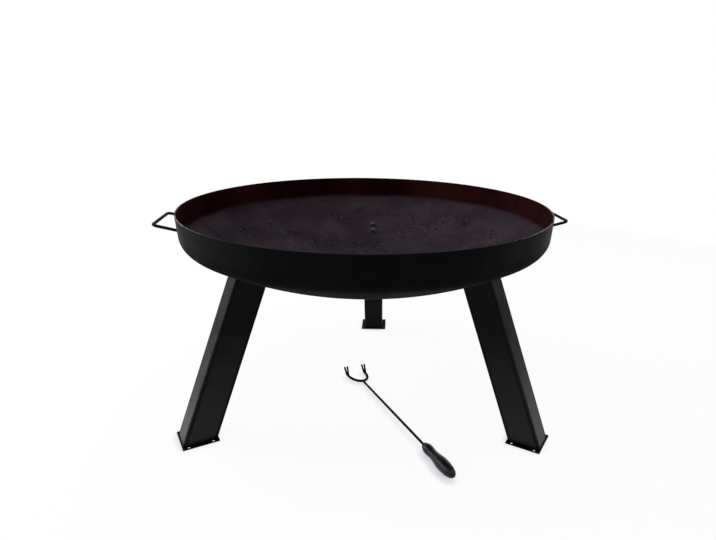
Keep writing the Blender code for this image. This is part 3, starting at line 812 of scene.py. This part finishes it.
def make_leg_box(side, coated):
    """Tube mitred at the bottom, with the marks that its finish follows."""
    outer = rounded_rectangle(LEG_DEEP, LEG_WIDE, LEG_CORNER)
    inner = rounded_rectangle(LEG_DEEP - 2.0 * LEG_WALL, LEG_WIDE - 2.0 * LEG_WALL, LEG_CORNER - LEG_WALL)
    bm = bmesh.new()
    corner, shaded_inside, around, across = [
        bm.verts.layers.float.new(mark) for mark in (CORNER_MARK, PAINTED_SHADE_MARK, AROUND_MARK, ACROSS_MARK)]
    rings = []
    for outline in (outer, inner):
        rings.append([bm.verts.new((x, y, TUBE_TOP)) for x, y in outline])
        rings.append([bm.verts.new((x, y, ground_height(x, TUBE_BASE))) for x, y in outline])
    outer_top, outer_base, inner_top, inner_base = rings
    length = 0.0
    for i, share in enumerate(corner_shares(len(outer))):
        length += math.dist(outer[i - 1], outer[i]) if i else 0.0
        faces_in = outer[i][0] < LEG_CORNER - LEG_DEEP / 2.0
        for vert in (outer_top[i], outer_base[i]):
            vert[around] = length
            vert[across] = float(i * 4 // len(outer) % 2)
            vert[corner] = share
            # The inner faces are marked for painted shade
            vert[shaded_inside] = 1.0 if faces_in else 0.0
    for first, second in ((outer_top, outer_base), (inner_top, inner_base),
                          (outer_top, inner_top), (outer_base, inner_base)):
        for i in range(len(first)):
            bm.faces.new((first[i - 1], first[i], second[i], second[i - 1]))
    bmesh.ops.recalc_face_normals(bm, faces=bm.faces)
    name = side + "_leg_tube"
    new_piece(side + "_leg_box", bm, "fire_bowl", (coated,), leg_place(side), (name,))


def make_foot_weld(side, coated):
    """Bead round the tube's bottom, on the foot plate."""
    outline = rounded_rectangle(LEG_DEEP, LEG_WIDE, LEG_CORNER)
    path = []
    for i, start in enumerate(outline):
        end = outline[(i + 1) % len(outline)]
        steps = max(1, round(math.dist(start, end) / (RIPPLE_LENGTH / RIPPLE_STEPS)))
        path += [start] + along(start, end, steps)
    height = TUBE_BASE + LEG_BEAD * FOOT_BEAD_UP
    ring = [Vector((x, y, ground_height(x, height))) for x, y in path]
    bead = swept(ring, rippled(LEG_BEAD, ring), BEAD_SIDES, closed=True)
    new_piece(side + "_foot_weld", bead, "fire_bowl", (coated,), leg_place(side))


def make_foot(side, coated):
    """Square plate with bevelled edges and a peg hole near each corner."""
    low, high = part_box(side + "_foot_plate")
    place = Matrix.Translation(((low.x + high.x) / 2.0, (low.y + high.y) / 2.0, 0.0))
    place = place @ Matrix.Rotation(LEG_ANGLES[side], 4, "Z")
    reach = FOOT_SIZE / 2.0 - PEG_HOLE_EDGE
    beside = (FOOT_SIZE + LEG_WIDE) / 4.0
    outlines = [rounded_rectangle(FOOT_SIZE, FOOT_SIZE, FOOT_CORNER)]
    for x in (-reach, reach):
        for y in (-beside, beside):
            outlines.append(circle(PEG_HOLE / 2.0, PEG_HOLE_SIDES, (x, y)))
    bm = bmesh.new()
    edges = []
    for outline in outlines:
        verts = [bm.verts.new((x, y, 0.0)) for x, y in outline]
        edges += [bm.edges.new((verts[i - 1], verts[i])) for i in range(len(verts))]
    bmesh.ops.triangle_fill(bm, edges=edges, use_beauty=True, normal=(0.0, 0.0, 1.0))
    raised = bmesh.ops.extrude_face_region(bm, geom=bm.faces[:])["geom"]
    raised = [item for item in raised if isinstance(item, bmesh.types.BMVert)]
    bmesh.ops.translate(bm, verts=raised, vec=(0.0, 0.0, FOOT_PLATE))
    bmesh.ops.recalc_face_normals(bm, faces=bm.faces)
    name = side + "_foot_plate"
    foot = new_piece(side + "_foot", bm, "fire_bowl", (coated,), place, (name,))
    bevel = foot.modifiers.new("edge", "BEVEL")
    bevel.width = FOOT_EDGE
    bevel.segments = FOOT_EDGE_STEPS
    bevel.limit_method = "ANGLE"
    bevel.angle_limit = FOOT_EDGE_ANGLE
    bevel.harden_normals = True
    evaluated(foot)


def poker_place():
    """The poker's axes: origin where rod and fork meet, X along the rod up to the grip."""
    joint = frame["joints"][0]
    heading = math.atan2(joint["axis"][1], joint["axis"][0])
    span = GRIP_START + GRIP_BELLY_AT + BOW_DEPTH
    rest = BOW_ROD / 2.0 + BOW_WIDTH / 2.0 * math.sin(abs(POKER_ROLL))
    lean = math.asin((GRIP_BELLY - rest) / span)
    height = GAP + rest / math.cos(lean) + BOW_DEPTH * math.tan(lean)
    origin = Vector((joint["pos_m"][0], joint["pos_m"][1], height))
    turn = Matrix.Rotation(heading, 4, "Z") @ Matrix.Rotation(-lean, 4, "Y")
    return Matrix.Translation(origin) @ (turn @ Matrix.Rotation(POKER_ROLL, 4, "X"))


def prong_point(side, distance, spread):
    """A point on a prong that bends up and then runs straight, some way along from the bow's end."""
    bent = min(distance / PRONG_BEND, PRONG_RISE)
    straight = distance - bent * PRONG_BEND
    forward = PRONG_BEND * math.sin(bent) + straight * math.cos(bent)
    up = PRONG_BEND * (1.0 - math.cos(bent)) + straight * math.sin(bent)
    return Vector((-BOW_DEPTH - forward, side * BOW_WIDTH / 2.0 + spread, up))


def half_bow(side):
    """Path from the middle of the bow round one side and up to where its prongs part."""
    half = []
    for i in range(1, BOW_STEPS + 1):
        angle = math.pi / 2.0 * i / BOW_STEPS
        forward = BOW_DEPTH * (1.0 - math.cos(angle))
        half.append(Vector((-forward, side * BOW_WIDTH / 2.0 * math.sin(angle), 0.0)))
    root = range(1, PRONG_ROOT_STEPS + 1)
    return half + [prong_point(side, PRONG_ROOT * i / PRONG_ROOT_STEPS, 0.0) for i in root]


def prong(side, lean):
    """One prong, which leans away from its neighbour."""
    points = []
    for i in range(PRONG_STEPS + 1):
        share = i / PRONG_STEPS
        spread = PRONG_ROOT_SPREAD + (PRONG_SPREAD - PRONG_ROOT_SPREAD) * math.sqrt(share)
        distance = PRONG_START + (PRONG_LENGTH - PRONG_START) * share
        points.append(prong_point(side, distance, side * lean * spread / 2.0))
    return swept(points, lambda i: PRONG_ROD / 2.0 * PRONG_ENDS.get(i, 1.0), FORK_SIDES)


def make_fork(finish):
    """Bow and split ends forged into one: the rods are joined, then their crossings are smoothed."""
    path = list(reversed(half_bow(-1))) + [Vector((0.0, 0.0, 0.0))] + half_bow(1)
    bm = swept(path, lambda i: BOW_ROD / 2.0, FORK_SIDES)
    for side in (1, -1):
        for lean in (1.0, -1.0):
            take_in(bm, prong(side, lean))
    fork = new_piece("poker_fork_bow", bm, "poker", (finish,), poker_place(), ("poker_fork",))
    remesh = fork.modifiers.new("forge", "REMESH")
    remesh.mode = "VOXEL"
    remesh.voxel_size = FORGE_VOXEL
    smooth = fork.modifiers.new("smooth", "SMOOTH")
    smooth.factor = 0.5
    smooth.iterations = FORGE_SMOOTHING
    evaluated(fork)
    fork.data.shade_smooth()


def smooth_step(start, end, share):
    """A value between start and end that leaves both ends level."""
    return start + (end - start) * (1.0 - math.cos(math.pi * share)) / 2.0


def grip_section():
    """Closed section of the grip: nose in the ferrule, bulge, neck, belly, round end, and the rod's bore."""
    bore_radius = POKER_ROD / 2.0 + GAP
    bore_end = POKER_ROD_LENGTH - GRIP_START + GAP
    shoulder_at = FERRULE_LENGTH + GAP
    section = [(bore_radius, 0.0), (NOSE_RADIUS, 0.0), (NOSE_RADIUS, shoulder_at)]
    front = GRIP_BULGE_AT - shoulder_at
    for i in range(GRIP_FRONT_STEPS + 1):
        angle = math.pi / 2.0 * i / GRIP_FRONT_STEPS
        section.append((GRIP_SHOULDER + (GRIP_BULGE - GRIP_SHOULDER) * math.sin(angle),
                        GRIP_BULGE_AT - front * math.cos(angle)))
    for start_at, start, end_at, end in ((GRIP_BULGE_AT, GRIP_BULGE, GRIP_NECK_AT, GRIP_NECK),
                                         (GRIP_NECK_AT, GRIP_NECK, GRIP_BELLY_AT, GRIP_BELLY)):
        for i in range(1, GRIP_WAVE_STEPS + 1):
            share = i / GRIP_WAVE_STEPS
            section.append((smooth_step(start, end, share), start_at + (end_at - start_at) * share))
    tail = GRIP_LENGTH - GRIP_BELLY_AT
    for i in range(1, GRIP_TAIL_STEPS):
        angle = math.pi / 2.0 * i / GRIP_TAIL_STEPS
        section.append((GRIP_BELLY * math.cos(angle) ** GRIP_END_POWER,
                        GRIP_BELLY_AT + tail * math.sin(angle) ** GRIP_END_POWER))
    return section + [(0.0, GRIP_LENGTH), (0.0, bore_end), (bore_radius, bore_end)]


def shaft_section():
    """Closed section of the rod, from inside the fork's bow to its end in the grip."""
    radius = POKER_ROD / 2.0
    start = (radius, BOW_ROD / 2.0 * ROD_STARTS)
    end = (radius, POKER_ROD_LENGTH)
    return [(0.0, start[1]), start] + along(start, end, SHAFT_STEPS) + [end, (0.0, POKER_ROD_LENGTH)]


def collar_section():
    """Closed section of the ferrule, with a rounded lip round the rod."""
    inside = NOSE_RADIUS + GAP
    outside = inside + FERRULE_WALL
    bore_radius = POKER_ROD / 2.0 + GAP
    lip = arc((outside - FERRULE_LIP, 0.0), FERRULE_LIP, -math.pi / 2.0, 0.0, LIP_STEPS)
    return [(bore_radius, -FERRULE_LIP)] + lip + [(outside, FERRULE_LENGTH), (inside, FERRULE_LENGTH),
                                                  (inside, -GAP), (bore_radius, -GAP)]


def make_poker(rod_finish, collar_finish, grip):
    """Rod, fork, ferrule and grip, each turned about Z and laid along the poker's X axis."""
    on_rod = poker_place() @ Matrix.Rotation(math.radians(90.0), 4, "Y")
    at_grip = on_rod @ Matrix.Translation((0.0, 0.0, GRIP_START))
    shaft = turned(shaft_section(), SHAFT_SIDES)
    new_piece("poker_shaft", shaft, "poker", (rod_finish,), on_rod, ("poker_rod",))
    make_fork(rod_finish)
    collar = turned(collar_section(), COLLAR_SIDES)
    new_piece("poker_collar", collar, "poker", (collar_finish,), at_grip, ("poker_ferrule",))
    handle = turned(grip_section(), GRIP_SIDES)
    new_piece("poker_handle", handle, "poker", (grip,), at_grip, ("poker_grip",))


def dress_small_parts(plate_finish, bolt_finish, zinc_finish):
    """Finishes for the nodes that are shown as they are."""
    endings = {"_bolt": bolt_finish, "_washer": zinc_finish, "_weld_nut": zinc_finish,
               "_top_plate": plate_finish}
    for name, node in frame["nodes"].items():
        for ending, finish in endings.items():
            if name.endswith(ending):
                node.data.materials.clear()
                node.data.materials.append(finish)


def lamp(name, place, size, power):
    """A soft box that faces the bowl."""
    data = bpy.data.lights.new(name, "AREA")
    data.shape = "RECTANGLE"
    data.size, data.size_y = size
    data.energy = power
    obj = bpy.data.objects.new(name, data)
    bpy.context.scene.collection.objects.link(obj)
    obj.location = place
    obj.rotation_euler = (LAMP_TARGET - Vector(place)).to_track_quat("-Z", "Y").to_euler()


def floor_material():
    """Pale matt floor: nearly white to the camera, white far off, and shaded tightly where something rests."""
    material = bpy.data.materials.new("floor")
    material.use_nodes = True
    material.node_tree.nodes.clear()
    tree = Tree(material.node_tree)
    seen = tree.seen_directly()
    length = tree.node("ShaderNodeVectorMath", operation="LENGTH")
    tree.connect(tree.node("ShaderNodeTexCoord").outputs["Object"], length.inputs[0])
    distance = length.outputs["Value"]

    bounce = tree.mix(tree.ramp(distance, *BOUNCE_REACH), NEAR_BOUNCE, FAR_BOUNCE)
    diffuse = tree.feed(tree.node("ShaderNodeBsdfDiffuse"), Color=tree.mix(seen, bounce, FLOOR_SEEN))

    light_from = tree.node("ShaderNodeCombineXYZ")
    for value, socket in zip(CONTACT_LIGHT, light_from.inputs):
        tree.connect(value, socket)
    contact = tree.node("ShaderNodeAmbientOcclusion", samples=CONTACT_SAMPLES)
    tree.feed(contact, Distance=CONTACT_REACH, Normal=light_from.outputs[0])
    shaded = tree.mix(contact.outputs["AO"], CONTACT_SHADE, WHITE)
    glow = tree.feed(tree.node("ShaderNodeEmission"), Color=shaded)

    shown = tree.math("MAXIMUM", tree.ramp(distance, *GLOW_REACH), FLOOR_GLOW)
    both = tree.node("ShaderNodeMixShader")
    for value, socket in zip((tree.product(seen, shown), diffuse.outputs[0], glow.outputs[0]), both.inputs):
        tree.connect(value, socket)
    tree.feed(tree.node("ShaderNodeOutputMaterial"), Surface=both.outputs[0])
    return material


def white_surroundings():
    """White to the camera and in gloss; a softer level for the light on matt surfaces."""
    world = bpy.data.worlds.new("world")
    world.use_nodes = True
    tree = Tree(world.node_tree)
    level = tree.math("MAXIMUM", tree.seen_directly(), WORLD_LIGHT)
    tree.feed(world.node_tree.nodes["Background"], Color=WHITE, Strength=level)
    bpy.context.scene.world = world


def stage():
    """Pale floor that keeps a light shadow, white all round, soft lamps."""
    bm = bmesh.new()
    bmesh.ops.create_grid(bm, x_segments=1, y_segments=1, size=FLOOR_SIZE / 2.0)
    mesh = bpy.data.meshes.new("floor")
    bm.to_mesh(mesh)
    bm.free()
    mesh.materials.append(floor_material())
    floor = bpy.data.objects.new("floor", mesh)
    bpy.context.scene.collection.objects.link(floor)
    white_surroundings()
    for name, place, size, power in LAMPS:
        lamp(name, place, size, power)


def main():
    bpy.context.scene.view_settings.view_transform = "Standard"
    camera()
    stage()
    legs = leg_finish()
    feet = coat_finish("foot_coat", FOOT_COAT, roughness=0.55, specular=0.02, rub=0.3)
    rod = coat_finish("rod_coat", ROD_COAT, roughness=0.50, specular=0.03, rub=0.4)
    handle = coat_finish("handle_coat", HANDLE_COAT, roughness=0.58, specular=0.03, rub=0.5)
    dark_steel = steel_finish("dark_steel", DARK_STEEL, roughness=0.40, soot=0.7)
    collar = steel_finish("collar_steel", COLLAR_STEEL, roughness=0.38, soot=0.3)
    zinc = steel_finish("dulled_zinc", DULLED_ZINC, roughness=0.40, soot=0.8)
    make_bowl(outside_finish(), inside_finish(), rim_finish())
    make_handle("right", HANDLE_TURN, handle)
    make_handle("left", HANDLE_TURN + math.pi, handle)
    for side in LEG_ANGLES:
        make_leg_box(side, legs)
        make_foot_weld(side, feet)
        make_foot(side, feet)
    make_poker(rod, collar, grip_finish())
    dress_small_parts(legs, dark_steel, zinc)


main()
